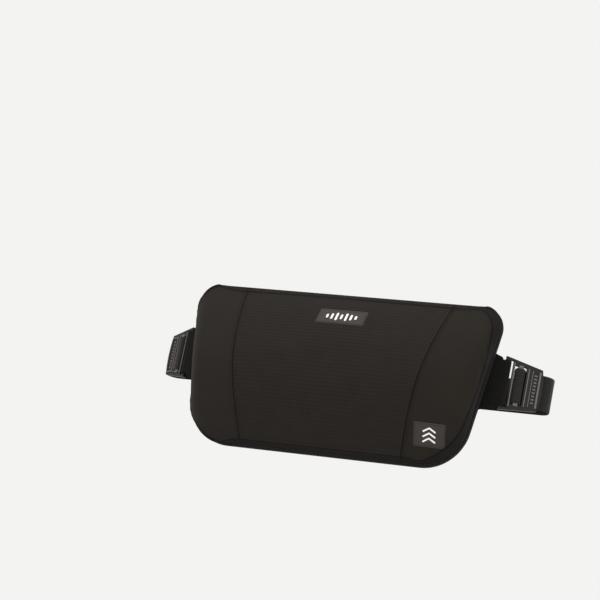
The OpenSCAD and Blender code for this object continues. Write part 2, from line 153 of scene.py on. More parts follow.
def run_length(p):
    """Length along a line of points, from its first."""
    return np.concatenate([[0], np.cumsum(np.linalg.norm(np.diff(p, axis=0), axis=1))])


def at_length(p, s, at):
    """Points of a line p, whose lengths are s, at the lengths in at."""
    return np.stack([np.interp(at, s, column) for column in p.T], -1)


def outline():
    """The whole outline in x and z, from the middle of the bottom edge round by the right."""
    right = edge_points(np.linspace(1, 0, 400))
    left = right[::-1] * [-1, 1]
    ring = np.vstack([[[0, -HALF_H]], right, [[0, HALF_H]], left, [[0, -HALF_H]]])
    s = run_length(ring)
    return at_length(ring, s, np.linspace(0, s[-1], 1201))


OUTLINE = outline()
OUTLINE_S = run_length(OUTLINE)


def edge_distance(x, z):
    """Distance from points to the outline."""
    flat = np.stack([np.ravel(x), np.ravel(z)], -1)
    d = np.min(np.linalg.norm(flat[:, None, :] - OUTLINE[None, :, :], axis=2), axis=1)
    return d.reshape(np.shape(x))


def front_grid():
    """Start shape of the whole front, rows from the top and columns from left to right."""
    z0 = HALF_H * (1 - 2 * np.arange(ROWS + 1) / ROWS)
    edge = edge_points(np.arange(ROWS + 1) / ROWS)
    columns = []
    for f in np.linspace(0, 1, SIDE_COLS + 1)[::-1]:
        s = 1 - (1 - f) ** 1.6
        x = seam_x(z0) + (edge[:, 0] - seam_x(z0)) * s
        z = z0 + (edge[:, 1] - z0) * s
        turn = shoulder_turn((edge[:, 0] - seam_x(z0)) * (1 - s))
        columns.append(np.stack([-x, front_y(x, z, turn, START_INSET), z], -1))
    for u in np.linspace(-1, 1, CENTER_COLS + 1)[1:-1]:
        x = u * seam_x(z0)
        columns.append(np.stack([x, front_y(x, z0, 1, START_INSET), z0], -1))
    columns += [c * [-1, 1, 1] for c in columns[:SIDE_COLS + 1][::-1]]
    return np.stack(columns, 1)


def grid_normals(p):
    """Unit normals of a grid of points."""
    along = np.gradient(p, axis=1)
    down = np.gradient(p, axis=0)
    n = np.cross(along, down)
    return n / np.maximum(np.linalg.norm(n, axis=2, keepdims=True), 1e-12)


def grid_faces(rows, cols, start=0, flip=False):
    """Quads of a grid of rows by cols cells."""
    faces = []
    for i in range(rows):
        for j in range(cols):
            a = start + i * (cols + 1) + j
            quad = (a, a + cols + 1, a + cols + 2, a + 1)
            faces.append(quad[::-1] if flip else quad)
    return faces


def border_of(shape):
    """True on the outer rows and columns of a grid."""
    border = np.zeros(shape, bool)
    border[[0, -1], :] = True
    border[:, [0, -1]] = True
    return border


def swell(grid):
    """Lets the cover swell over its filling by cloth simulation, held at its rim and seams."""
    rows, cols = grid.shape[0] - 1, grid.shape[1] - 1
    front = grid.reshape(-1, 3)
    index = np.arange(len(front)).reshape(rows + 1, cols + 1)
    border = border_of(index.shape)
    back_of = index.copy()
    back_of[~border] = len(front) + np.arange((~border).sum())
    back = grid[~border] * [1, 0, 1] - [0, RIM, 0]
    faces = grid_faces(rows, cols)
    for i in range(rows):
        for j in range(cols):
            faces.append((back_of[i, j], back_of[i, j + 1], back_of[i + 1, j + 1], back_of[i + 1, j]))
    mesh = bpy.data.meshes.new("swell")
    mesh.from_pydata([tuple(v) for v in np.vstack([front, back])], [], [tuple(map(int, f)) for f in faces])
    pad = bpy.data.objects.new("swell", mesh)
    bpy.context.scene.collection.objects.link(pad)
    held = pad.vertex_groups.new(name="held")
    held.add([int(i) for i in index[border]] + list(range(len(front), len(mesh.vertices))), 1.0, "REPLACE")
    seams = index[1:-1][:, [SIDE_COLS, SIDE_COLS + CENTER_COLS]].ravel()
    held.add([int(i) for i in seams], 0.5, "REPLACE")
    cloth = pad.modifiers.new("cloth", "CLOTH")
    settings = cloth.settings
    settings.quality = 6
    settings.mass = 0.3
    settings.tension_stiffness = 25
    settings.compression_stiffness = 25
    settings.shear_stiffness = 10
    settings.bending_stiffness = 2
    settings.vertex_group_mass = "held"
    settings.use_pressure = True
    settings.uniform_pressure_force = 4
    settings.effector_weights.gravity = 0
    cloth.point_cache.frame_start = 1
    cloth.point_cache.frame_end = 20
    scene = bpy.context.scene
    for step in range(1, 21):
        scene.frame_set(step)
    shown = pad.evaluated_get(bpy.context.evaluated_depsgraph_get())
    co = np.array([v.co for v in shown.data.vertices], float)[:len(front)].reshape(grid.shape)
    scene.frame_set(1)
    bpy.data.objects.remove(pad)
    move = co - grid
    size = np.linalg.norm(move, axis=2, keepdims=True)
    move *= np.minimum(1, SWELL_CAP / np.maximum(size, 1e-9))
    move *= smoothstep(edge_distance(grid[..., 0], grid[..., 2]) / SWELL_START)[..., None]
    for _ in range(2):
        inner = (move[:-2, 1:-1] + move[2:, 1:-1] + move[1:-1, :-2] + move[1:-1, 2:]) / 4
        move[1:-1, 1:-1] = 0.5 * move[1:-1, 1:-1] + 0.5 * inner
    print("swell, mm: most", round(float(size.max()) * 1000, 2), "mean", round(float(size.mean()) * 1000, 2))
    return grid + move


def weights(positions, n):
    """Matrix of Catmull-Rom weights that samples n + 1 points at positions from 0 to n."""
    w = np.zeros((len(positions), n + 1))
    for row, p in enumerate(positions):
        k = min(int(p), n - 1)
        t = p - k
        basis = (-t**3 + 2 * t**2 - t, 3 * t**3 - 5 * t**2 + 2, -3 * t**3 + 4 * t**2 + t, t**3 - t**2)
        for step, b in zip((-1, 0, 1, 2), basis):
            q = k + step
            if q < 0:
                w[row, 0] += 2 * b
                w[row, 1] -= b
            elif q > n:
                w[row, n] += 2 * b
                w[row, n - 1] -= b
            else:
                w[row, q] += b
    return w / 2


def sample(grid, rows_at, cols_at):
    """Points of a grid at fractional rows and columns."""
    wr = weights(rows_at, grid.shape[0] - 1)
    wc = weights(cols_at, grid.shape[1] - 1)
    return np.einsum("ai,ijk,bj->abk", wr, grid, wc)


def crowded(count, length, reach=SEAM_REACH):
    """Fractions from 0 to 1 along a length, with extra places close to both ends."""
    near = np.array([0, 0.12, 0.26, 0.42, 0.62, 0.82]) * reach / length
    middle = np.linspace(reach / length, 1 - reach / length, count)
    return np.concatenate([near, middle, 1 - near[::-1]])


def path_length(p, axis):
    """Length along a grid from its first row or column."""
    step = np.linalg.norm(np.diff(p, axis=axis), axis=2)
    pad = [(0, 0), (0, 0)]
    pad[axis] = (1, 0)
    return np.pad(np.cumsum(step, axis=axis), pad)


# ------------------------------------------------------------------ mesh building

def link_mesh(name, verts, faces, uv=None, smooth=True):
    """An object from points, faces and one (u, v) for each point, in metres."""
    mesh = bpy.data.meshes.new(name)
    mesh.from_pydata([tuple(v) for v in verts], [], [tuple(int(i) for i in f) for f in faces])
    if uv is not None:
        layer = mesh.uv_layers.new(name="cloth")
        loops = np.zeros(len(mesh.loops), int)
        mesh.loops.foreach_get("vertex_index", loops)
        layer.data.foreach_set("uv", np.asarray(uv, np.float32)[loops].ravel())
    mesh.polygons.foreach_set("use_smooth", [smooth] * len(mesh.polygons))
    mesh.update()
    obj = bpy.data.objects.new(name, mesh)
    bpy.context.scene.collection.objects.link(obj)
    return obj


def shell(name, outer, inner, faces, uv):
    """A closed shell from matching outer and inner points: faces are those of the outer side."""
    outer, inner = outer.reshape(-1, 3), inner.reshape(-1, 3)
    k = len(outer)
    count = {}
    for f in faces:
        for a, b in zip(f, f[1:] + f[:1]):
            count[(a, b)] = count.get((a, b), 0) + 1
    walls = [(b, a, a + k, b + k) for a, b in count if (b, a) not in count]
    under = [tuple(i + k for i in f[::-1]) for f in faces]
    used = sorted(set(i for f in faces for i in f))
    place = {old: new for new, old in enumerate(used + [i + k for i in used])}
    verts = np.vstack([outer, inner])[used + [i + k for i in used]]
    uv = np.vstack([uv.reshape(-1, 2)] * 2)[used + [i + k for i in used]]
    all_faces = [tuple(place[i] for i in f) for f in list(faces) + under + walls]
    return link_mesh(name, verts, all_faces, uv)


def smoothstep(x):
    x = np.clip(x, 0, 1)
    return x * x * (3 - 2 * x)


def seam_dip(d):
    """How deep a panel turns down beside a seam, d away from it."""
    return SEAM_DIP * (1 - smoothstep(d / SEAM_REACH)) ** 1.5


# ------------------------------------------------------------------ materials

def value(tree, socket, x):
    if isinstance(x, (int, float)):
        socket.default_value = x
    else:
        tree.links.new(x, socket)


def math_node(tree, operation, a, b=None):
    node = tree.nodes.new("ShaderNodeMath")
    node.operation = operation
    value(tree, node.inputs[0], a)
    if b is not None:
        value(tree, node.inputs[1], b)
    return node.outputs[0]


def times(tree, a, b):
    return math_node(tree, "MULTIPLY", a, b)


def plus(tree, a, b):
    return math_node(tree, "ADD", a, b)


def wave(tree, x, pitch, phase=0.0):
    """A sine of the given pitch, from 0 to 1."""
    turns = times(tree, x, 2 * math.pi / pitch)
    s = math_node(tree, "SINE", plus(tree, turns, phase))
    return scaled(tree, s, 0.5, 0.5)


def arches(tree, x, pitch):
    """A row of round arches of the given pitch, from 0 to 1."""
    s = math_node(tree, "SINE", times(tree, x, math.pi / pitch))
    return math_node(tree, "ABSOLUTE", s)


def scaled(tree, x, factor, offset):
    return plus(tree, times(tree, x, factor), offset)


def noise(tree, scale, detail=3.0):
    node = tree.nodes.new("ShaderNodeTexNoise")
    node.inputs["Scale"].default_value = scale
    node.inputs["Detail"].default_value = detail
    node.inputs["Roughness"].default_value = 0.55
    tree.links.new(tree.nodes.new("ShaderNodeTexCoord").outputs["Object"], node.inputs["Vector"])
    return node.outputs["Fac"]


def mixed(tree, factor, a, b):
    """Colour a where factor is 0 and b where it is 1."""
    node = tree.nodes.new("ShaderNodeMix")
    node.data_type = "RGBA"
    value(tree, node.inputs[0], factor)
    for socket, colour in ((node.inputs[6], a), (node.inputs[7], b)):
        if isinstance(colour, tuple):
            socket.default_value = (*colour, 1)
        else:
            tree.links.new(colour, socket)
    return node.outputs[2]


def shade(colour, k):
    return tuple(c * k for c in colour)


def start_material(name, roughness, **sockets):
    """A material with a principled shader, its own sockets set to constants."""
    mat = bpy.data.materials.new(name)
    mat.use_nodes = True
    tree = mat.node_tree
    shader = tree.nodes["Principled BSDF"]
    shader.inputs["Roughness"].default_value = roughness
    for key, x in sockets.items():
        shader.inputs[key.replace("_", " ")].default_value = x
    return mat, tree, shader


def add_bump(tree, shader, height, distance, strength=1.0):
    node = tree.nodes.new("ShaderNodeBump")
    node.inputs["Distance"].default_value = distance
    node.inputs["Strength"].default_value = strength
    tree.links.new(height, node.inputs["Height"])
    tree.links.new(node.outputs[0], shader.inputs["Normal"])


def tint(tree, shader, factor, colour, low, high):
    """Base colour from colour times low, where factor is 0, to colour times high, where it is 1."""
    tone = mixed(tree, factor, shade(colour, low), shade(colour, high))
    tree.links.new(tone, shader.inputs["Base Color"])


def cloth_uv(tree):
    """The two cloth coordinates, in metres."""
    node = tree.nodes.new("ShaderNodeUVMap")
    node.uv_map = "cloth"
    split = tree.nodes.new("ShaderNodeSeparateXYZ")
    tree.links.new(node.outputs[0], split.inputs[0])
    return split.outputs[0], split.outputs[1]


MESH_COLOUR = (0.0135, 0.0112, 0.0097)
KNIT_SHINE = {"Sheen_Weight": 0.04, "Sheen_Roughness": 0.5, "Specular_IOR_Level": 0.12}


def net_cells(tree, u, v, pitch_u, pitch_v):
    """A staggered pattern from 0 to 1: 1 in the middle of each cell or loop."""
    first = times(tree, wave(tree, u, pitch_u), wave(tree, v, pitch_v))
    other = times(tree, wave(tree, u, pitch_u, math.pi), wave(tree, v, pitch_v, math.pi))
    return plus(tree, first, other)


def gusset_look(tree, tone, height, u, v):
    """Turns a panel's tone and relief into open mesh where its rim attribute is over a half, and paints shade
    along its seams from its seam attribute.
    """
    node = tree.nodes.new("ShaderNodeAttribute")
    node.attribute_name = "rim"
    on_rim = math_node(tree, "GREATER_THAN", node.outputs["Fac"], 0.5)
    hole = net_cells(tree, u, v, 2.0 * MM, 2.6 * MM)
    net = mixed(tree, hole, shade(MESH_COLOUR, 1.5), shade(MESH_COLOUR, 0.25))
    relief = times(tree, hole, -1.6)
    keep = math_node(tree, "SUBTRACT", 1.0, on_rim)
    mixed_height = plus(tree, times(tree, height, keep),
                             times(tree, relief, on_rim))
    # Painted shade: the seam attribute darkens the tone to near black along the seam grooves.
    seam = tree.nodes.new("ShaderNodeAttribute")
    seam.attribute_name = "seam"
    tone = mixed(tree, on_rim, tone, net)
    return mixed(tree, seam.outputs["Fac"], tone, shade(MESH_COLOUR, 0.15)), mixed_height


def knit_material(name, colour, pitch, depth, patchy=0.12):
    """Plain knit: rows of small loops, slightly uneven in tone."""
    mat, tree, shader = start_material(name, 0.92, **KNIT_SHINE)
    u, v = cloth_uv(tree)
    height = net_cells(tree, u, v, pitch, pitch * 0.8)
    fuzz = noise(tree, 900.0, 2.0)
    cloud = noise(tree, 28.0, 3.0)
    tone = mixed(tree, height, shade(colour, 0.55), shade(colour, 1.25))
    tone = mixed(tree, scaled(tree, cloud, patchy * 3, -patchy), tone, shade(colour, 1.5))
    tone, height = gusset_look(tree, tone, height, u, v)
    tree.links.new(tone, shader.inputs["Base Color"])
    add_bump(tree, shader, plus(tree, height, scaled(tree, fuzz, 0.6, 0.0)), depth)
    return mat


def ribbed_material(name, colour):
    """Ribbed knit: painted shade in the valleys between the ribs, dotted rows of loops on them, and a painted
    glint on the loop tops.
    """
    mat, tree, shader = start_material(name, 0.9, **KNIT_SHINE)
    u, v = cloth_uv(tree)
    rib = math_node(tree, "POWER", arches(tree, v, RIB_PITCH), 0.5)
    height = net_cells(tree, u, v, KNIT_PITCH, RIB_PITCH / 2)
    cloud = noise(tree, 24.0, 3.0)
    blotch = noise(tree, 70.0, 2.0)
    tone = mixed(tree, height, shade(colour, 0.55), shade(colour, 1.35))
    # Painted shade: the valleys between the ribs are darkened.
    tone = mixed(tree, rib, shade(colour, 0.62), tone)
    # Painted glint: the tops of the loops are lightened in patches, up to two and a half times the tone.
    spark = times(tree, math_node(tree, "POWER", height, 3.0), scaled(tree, blotch, 1.1, -0.2))
    tone = mixed(tree, spark, tone, shade(colour, 2.5))
    tone = mixed(tree, scaled(tree, cloud, 0.4, -0.15), tone, shade(colour, 1.15))
    tone, height = gusset_look(tree, tone, height, u, v)
    tree.links.new(tone, shader.inputs["Base Color"])
    fuzz = noise(tree, 900.0, 2.0)
    add_bump(tree, shader, plus(tree, height, scaled(tree, fuzz, 0.5, 0.0)), 0.25 * MM)
    return mat


def mesh_material(name, colour, pitch):
    """Spacer mesh: a net of threads round open cells."""
    mat, tree, shader = start_material(name, 0.9, Sheen_Weight=0.03, Specular_IOR_Level=0.12)
    u, v = cloth_uv(tree)
    hole = math_node(tree, "POWER", net_cells(tree, u, v, pitch, pitch * 1.4), 1.6)
    tint(tree, shader, hole, colour, 1.35, 0.22)
    fuzz = noise(tree, 1200.0, 2.0)
    add_bump(tree, shader, math_node(tree, "SUBTRACT", scaled(tree, fuzz, 0.3, 0.0), hole), 0.5 * MM)
    return mat


def webbing_material(name, colour):
    """Woven webbing: lengthwise cords crossed by fine picks."""
    mat, tree, shader = start_material(name, 0.7, Sheen_Weight=0.05, Specular_IOR_Level=0.25)
    u, v = cloth_uv(tree)
    cords = wave(tree, v, 1.9 * MM)
    slant = plus(tree, u, times(tree, arches(tree, v, 3.8 * MM), 1.2 * MM))
    picks = wave(tree, slant, 1.1 * MM)
    height = plus(tree, times(tree, cords, 0.6), times(tree, picks, 0.5))
    tone = mixed(tree, height, shade(colour, 0.45), shade(colour, 1.6))
    tone = mixed(tree, scaled(tree, noise(tree, 60.0, 2.0), 0.4, -0.1), tone, shade(colour, 1.8))
    tree.links.new(tone, shader.inputs["Base Color"])
    add_bump(tree, shader, height, 0.35 * MM)
    return mat


def plastic_material(name, colour, roughness, ridge_axis=None):
    """Moulded nylon: fine spark-eroded grain, with painted highlights on its raised lines.

    ridge_axis: unit vector out of a plate's face and how far out its raised lines begin."""
    mat, tree, shader = start_material(name, roughness, Specular_IOR_Level=0.2)
    grain = noise(tree, 2600.0, 2.0)
    cloud = noise(tree, 45.0, 3.0)
    tone = mixed(tree, cloud, shade(colour, 0.8), shade(colour, 1.25))
    if ridge_axis:
        out, begins = ridge_axis
        dot = tree.nodes.new("ShaderNodeVectorMath")
        dot.operation = "DOT_PRODUCT"
        tree.links.new(tree.nodes.new("ShaderNodeTexCoord").outputs["Object"], dot.inputs[0])
        dot.inputs[1].default_value = out
        # Painted highlight: the raised lines are lightened to sixteen times the tone, standing for the shine
        # on their rounded tops.
        raised = math_node(tree, "GREATER_THAN", dot.outputs["Value"], begins)
        tone = mixed(tree, raised, tone, shade(colour, 16.0))
    tree.links.new(tone, shader.inputs["Base Color"])
    tree.links.new(scaled(tree, cloud, 0.24, roughness - 0.12), shader.inputs["Roughness"])
    add_bump(tree, shader, grain, 0.05 * MM)
    return mat


def metal_material(name, colour, roughness):
    """Painted zinc, brushed by use."""
    mat, tree, shader = start_material(name, roughness, Metallic=0.85)
    wear = noise(tree, 400.0, 4.0)
    tint(tree, shader, wear, colour, 0.7, 1.5)
    tree.links.new(scaled(tree, wear, 0.3, roughness - 0.15), shader.inputs["Roughness"])
    add_bump(tree, shader, wear, 0.03 * MM)
    return mat


def foam_material(name, colour, cell):
    """Open-cell foam: small pits of uneven size."""
    mat, tree, shader = start_material(name, 0.95)
    node = tree.nodes.new("ShaderNodeTexVoronoi")
    node.inputs["Scale"].default_value = 1 / cell
    tree.links.new(tree.nodes.new("ShaderNodeTexCoord").outputs["Object"], node.inputs["Vector"])
    pits = node.outputs["Distance"]
    tint(tree, shader, pits, colour, 0.75, 1.0)
    add_bump(tree, shader, pits, 0.3 * MM)
    return mat


def board_material(name, colour):
    """Grey fibreboard."""
    mat, tree, shader = start_material(name, 0.8)
    fibres = noise(tree, 350.0, 5.0)
    tint(tree, shader, fibres, colour, 0.75, 1.3)
    add_bump(tree, shader, fibres, 0.1 * MM)
    return mat


def satin_material(name, colour):
    """Woven satin label: fine lengthwise threads with a soft shine."""
    mat, tree, shader = start_material(name, 0.6, Sheen_Weight=0.08, Specular_IOR_Level=0.25)
    u, v = cloth_uv(tree)
    threads = plus(tree, wave(tree, v, 0.55 * MM), times(tree, wave(tree, u, 0.9 * MM), 0.4))
    tint(tree, shader, threads, colour, 0.7, 1.15)
    add_bump(tree, shader, threads, 0.1 * MM)
    return mat


def thread_material(name, colour):
    """Twisted sewing thread."""
    mat, tree, shader = start_material(name, 0.8, Specular_IOR_Level=0.15)
    twist = noise(tree, 1500.0, 2.0)
    tint(tree, shader, twist, colour, 0.6, 1.5)
    add_bump(tree, shader, twist, 0.08 * MM)
    return mat


SIDE_COLOUR = (0.0200, 0.0156, 0.0124)
RIB_COLOUR = (0.0176, 0.0142, 0.0113)
PLASTIC_COLOUR = (0.0078, 0.0070, 0.0062)
MATERIALS = {
    "side_knit": knit_material("side_knit", SIDE_COLOUR, 1.3 * MM, 0.22 * MM),
    "ribbed_knit": ribbed_material("ribbed_knit", RIB_COLOUR),
    "edge_mesh": mesh_material("edge_mesh", MESH_COLOUR, 2.0 * MM),
    "back_cloth": mesh_material("back_cloth", (0.017, 0.0145, 0.0125), 1.6 * MM),
    "tab_cloth": knit_material("tab_cloth", (0.0062, 0.0058, 0.0053), 1.0 * MM, 0.2 * MM),
    "webbing": webbing_material("webbing", (0.0078, 0.0072, 0.0066)),
    "buckle_plastic": plastic_material("buckle_plastic", PLASTIC_COLOUR, 0.42),
    "zip_tape": webbing_material("zip_tape", (0.016, 0.015, 0.014)),
    "zip_teeth": plastic_material("zip_teeth", (0.02, 0.02, 0.02), 0.35),
    "zip_metal": metal_material("zip_metal", (0.10, 0.10, 0.105), 0.38),
    "foam": foam_material("foam", (0.62, 0.60, 0.50), 1.2 * MM),
    "memory_foam": foam_material("memory_foam", (0.70, 0.66, 0.42), 0.7 * MM),
    "board": board_material("board", (0.055, 0.055, 0.06)),
    "label_cloth": satin_material("label_cloth", (0.037, 0.030, 0.0272)),
    "label_print": thread_material("label_print", (0.82, 0.81, 0.79)),
    "thread": thread_material("thread", (0.011, 0.0095, 0.0085)),
}


def dress(obj, material, body, replaces=()):
    """Gives a new piece its material and body, and hides the CAD nodes that it stands for."""
    obj.data.materials.clear()
    obj.data.materials.append(MATERIALS[material])
    if body:
        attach(obj, body)
    if replaces:
        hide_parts(*replaces)
    return obj


# ------------------------------------------------------------------ cover

START = front_grid()
FORM = swell(START)
FORM_NORMALS = grid_normals(FORM)
for rows, cols in ((slice(None), 0), (slice(None), -1), (0, slice(None)), (-1, slice(None))):
    line = OUTLINE[:-1]
    block = FORM[rows, cols][:, [0, 2]]
    nearest = np.argmin(np.linalg.norm(block[:, None] - line[None], axis=2), axis=1)
    ahead = line[(nearest + 1) % len(line)] - line[nearest - 1]
    ahead /= np.linalg.norm(ahead, axis=1, keepdims=True)
    FORM_NORMALS[rows, cols] = np.stack([ahead[:, 1], np.zeros(len(ahead)), -ahead[:, 0]], -1)


def panel_grid(first, last, rows_at, cols_at):
    """Points and unit normals of the front between two columns, at fractional rows and columns."""
    block = sample(FORM[:, first:last + 1], rows_at * ROWS, cols_at * (last - first))
    n = sample(FORM_NORMALS[:, first:last + 1], rows_at * ROWS, cols_at * (last - first))
    return block, n / np.linalg.norm(n, axis=2, keepdims=True)


def distances(p):
    """Distances of a panel's points from its four edges: left, right, top and bottom."""
    along, down = path_length(p, 1), path_length(p, 0)
    return along, along[:, -1:] - along, down, down[-1:] - down


def rim_share(top, bottom, outer=None, outer_width=0.0):
    """How near each point is to the rim: over 0.5 on the gusset that wraps on to the front."""
    near = [(top, GUSSET_TOP), (bottom, GUSSET_BOTTOM)]
    if outer is not None:
        near.append((outer, outer_width))
    return sum(np.maximum(0, 1 - d / (2 * w)) ** 4 for d, w in near) ** 0.25


def gusset_groove(share):
    """The seam line between a panel and the gusset."""
    return GUSSET_GROOVE * np.exp(-((share - 0.5) / 0.075) ** 2)


def mark_rim(piece, share, from_seam):
    """Stores for the material how much gusset each point is, and how much painted seam shade it gets: a dark
    line along the long seams and the gusset line, standing for the shade in their grooves.
    """
    # Painted shade: darkest on the long seams and on the gusset line, where the grooves are.
    seam = np.maximum(np.exp(-(from_seam / SEAM_SHADE_WIDTH) ** 2), 0.8 * np.exp(-((share - 0.5) / 0.05) ** 2))
    for key, x in (("rim", share), ("seam", seam)):
        layer = piece.data.attributes.new(key, "FLOAT", "POINT")
        layer.data.foreach_set("value", np.concatenate([x.ravel()] * 2).astype(np.float32))
    return piece


def panel_shell(name, p, n, lift, uv_start):
    outer = p + n * lift[..., None]
    outer[..., 2] = np.clip(outer[..., 2], 0.7 * MM - HALF_H, HALF_H - 0.7 * MM)
    inner = outer - n * COVER_T
    u = path_length(p, 1) + uv_start
    v = path_length(p, 0)
    faces = grid_faces(p.shape[0] - 1, p.shape[1] - 1)
    return shell(name, outer, inner, faces, np.stack([u, v], -1))


def center_panel():
    rows_at = crowded(260, 2 * HALF_H)
    cols_at = crowded(58, 2 * SEAM_BOTTOM)
    p, n = panel_grid(SIDE_COLS, SIDE_COLS + CENTER_COLS, rows_at, cols_at)
    left, right, top, bottom = distances(p)
    nearest = np.minimum(np.minimum(left, right), np.minimum(top, bottom))
    rib = np.abs(np.sin(math.pi * top / RIB_PITCH)) ** 0.6
    share = rim_share(top, bottom)
    on_panel = smoothstep((0.5 - share) / 0.06)
    lift = RIB_HEIGHT * (rib - 0.6) * smoothstep(nearest / SEAM_REACH) * on_panel
    lift -= seam_dip(nearest) + gusset_groove(share)
    piece = panel_shell("front_center_panel_cover", p, n, lift, p[:, :1, 0])
    return mark_rim(piece, share, np.minimum(left, right))


# Soft creases beside the gusset line, in mm: height, distance from the line, length, slant, width
CREASES = [(34, 5, 22, 0.35, 2.4), (20, 9, 30, 0.22, 2.8), (2, 4, 26, 0.15, 2.2), (-30, 6, 24, -0.1, 2.6)]


def side_panel(side):
    rows_at = crowded(140, 2 * HALF_H)
    cols_at = crowded(56, SEAM_TOP / 2)
    first = 0 if side < 0 else SIDE_COLS + CENTER_COLS
    p, n = panel_grid(first, first + SIDE_COLS, rows_at, cols_at)
    left, right, top, bottom = distances(p)
    nearest = np.minimum(np.minimum(left, right), np.minimum(top, bottom))
    from_edge = left if side < 0 else right
    z = p[..., 2]
    gusset = GUSSET_RIGHT if side > 0 else GUSSET_LEFT
    share = rim_share(top, bottom, from_edge, gusset)
    off = from_edge - gusset
    lift = -gusset_groove(share)
    for height, inside, length, slant, width in CREASES:
        dz = z - height * MM
        away = off - inside * MM - slant * dz
        fade = np.exp(-(dz / (length * MM / 2)) ** 4)
        lift -= (CREASE_RIGHT if side > 0 else CREASE_LEFT) * np.exp(-(away / (width * MM)) ** 2) * fade
    lift -= seam_dip(nearest)
    name = "side_panel_right_cover" if side > 0 else "side_panel_left_cover"
    return mark_rim(panel_shell(name, p, n, lift, p[:, :1, 0]), share, right if side < 0 else left)


def band():
    """The mesh band round the rim."""
    total = OUTLINE_S[-1]
    places = np.linspace(0, total, int(total / (1.8 * MM)))
    x, z = at_length(OUTLINE, OUTLINE_S, places).T
    dx, dz = np.gradient(x), np.gradient(z)
    size = np.hypot(dx, dz)
    nx, nz = dz / size, -dx / size
    across = np.array([0, 0.03, 0.06, 0.1, 0.18, 0.3, 0.42, 0.58, 0.7, 0.82, 0.9, 0.94, 0.97, 1])
    width = RIM - BACK_T
    from_edge = np.minimum(across, 1 - across) * width
    bulge = BAND_BULGE * np.sin(math.pi * across) ** 0.6 - seam_dip(from_edge * 1.6)
    lifted = np.stack([x[:, None] + nx[:, None] * bulge, z[:, None] + nz[:, None] * bulge], -1)
    y = np.broadcast_to(-RIM + across * width, lifted.shape[:2])
    outer = np.stack([lifted[..., 0], y, lifted[..., 1]], -1)
    inner = outer - np.stack([nx, np.zeros(len(nx)), nz], -1)[:, None, :] * COVER_T
    cols = len(across)
    last = len(places) - 1
    faces = []
    for i in range(last):
        a, b = i * cols, ((i + 1) % last) * cols
        faces += [(a + j, a + j + 1, b + j + 1, b + j) for j in range(cols - 1)]
    uv = np.stack(np.broadcast_arrays(places[:, None], (across * width)[None]), -1)
    return shell("boxing_band_mesh", outer, inner, faces, uv)


def back():
    """The back panel, softly rounded at its rim, with a stitched channel and the zip's opening."""
    zip_low, zip_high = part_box("zip_tape_lower")[0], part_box("zip_tape_upper")[1]
    zip_rows = [(HALF_H - z) / (2 * HALF_H) for z in (zip_high.z, zip_low.z)]
    rows_at = np.unique(np.concatenate([crowded(70, 2 * HALF_H), zip_rows]))
    cols_at = crowded(120, TOP_W)
    p = sample(START, rows_at * ROWS, cols_at * (START.shape[1] - 1))
    n = sample(FORM_NORMALS, rows_at * ROWS, cols_at * (FORM.shape[1] - 1))
    d = edge_distance(p[..., 0], p[..., 2])
    border = border_of(d.shape)
    d[border] = 0
    in_zip = (np.abs(p[..., 0]) < zip_high.x) & (p[..., 2] < zip_high.z + EPS) & (p[..., 2] > zip_low.z - EPS)
    from_zip = np.hypot(np.maximum(0, np.abs(p[..., 0]) - zip_high.x),
                        np.maximum(0, np.abs(p[..., 2] - (zip_high.z + zip_low.z) / 2) - 3 * MM))
    puff = 0.9 * MM * smoothstep(d / (40 * MM)) * smoothstep(from_zip / (10 * MM))
    channel = 0.9 * MM * np.exp(-((d - CHANNEL) / (1.4 * MM)) ** 2)
    y = -BACK_T + (BACK_T - 0.5 * MM) * smoothstep(d / (5 * MM)) ** 0.6 + puff - channel
    outer = p.copy()
    outer[..., 1] = y
    outer -= (n * [1, 0, 1]) * (seam_dip(d) * border)[..., None]
    inner = outer - np.array([0, COVER_T * 0.6, 0])
    cols = p.shape[1]
    inside = in_zip.ravel()
    faces = [f for f in grid_faces(p.shape[0] - 1, cols - 1, flip=True) if not all(inside[i] for i in f)]
    return shell("back_panel_cover", outer, inner, faces, np.stack([outer[..., 0], outer[..., 2]], -1))


covers = {
    "front_center_panel": dress(center_panel(), "ribbed_knit", "cushion", replaces=["front_center_panel"]),
    "side_panel_left": dress(side_panel(-1), "side_knit", "cushion", ["side_panel_left"]),
    "side_panel_right": dress(side_panel(1), "side_knit", "cushion", ["side_panel_right"]),
    "boxing_band": dress(band(), "edge_mesh", "cushion", replaces=["boxing_band"]),
    "back_panel": dress(back(), "back_cloth", "cushion", replaces=["back_panel"]),
}


# ------------------------------------------------------------------ things on the cover

def tree_of(*pieces):
    """One search tree of the outsides of several meshes."""
    verts, faces = [], []
    for piece in pieces:
        faces += [[len(verts) + i for i in p.vertices] for p in piece.data.polygons]
        verts += [v.co.copy() for v in piece.data.vertices]
    return BVHTree.FromPolygons(verts, faces)


FRONT = tree_of(covers["front_center_panel"], covers["side_panel_left"], covers["side_panel_right"])
BACK = tree_of(covers["back_panel"])


def on_front(x, z):
    """Point and normal of the front at x and z."""
    hit, normal, _, _ = FRONT.ray_cast(Vector((x, -0.2, z)), Vector((0, 1, 0)))
    return hit, normal if normal.y < 0 else -normal


def on_back(x, z):
    hit, normal, _, _ = BACK.ray_cast(Vector((x, 0.2, z)), Vector((0, -1, 0)))
    return hit, normal if normal.y > 0 else -normal


def smooth_base(x, z, reach=3 * MM):
    """Height and normal of the front, evened out over the ribs."""
    spots = [on_front(x + dx, z + dz) for dx in (-reach, reach) for dz in (-reach, 0, reach)]
    point = sum((s[0] for s in spots), Vector()) / len(spots)
    return Vector((x, point.y, z)), sum((s[1] for s in spots), Vector()).normalized()


def rounded_inset(u, v, w, h, r):
    """Distance inside a rounded rectangle of half sizes w and h."""
    qx, qy = abs(u) - (w - r), abs(v) - (h - r)
    return r - (math.hypot(max(qx, 0), max(qy, 0)) + min(max(qx, qy), 0))


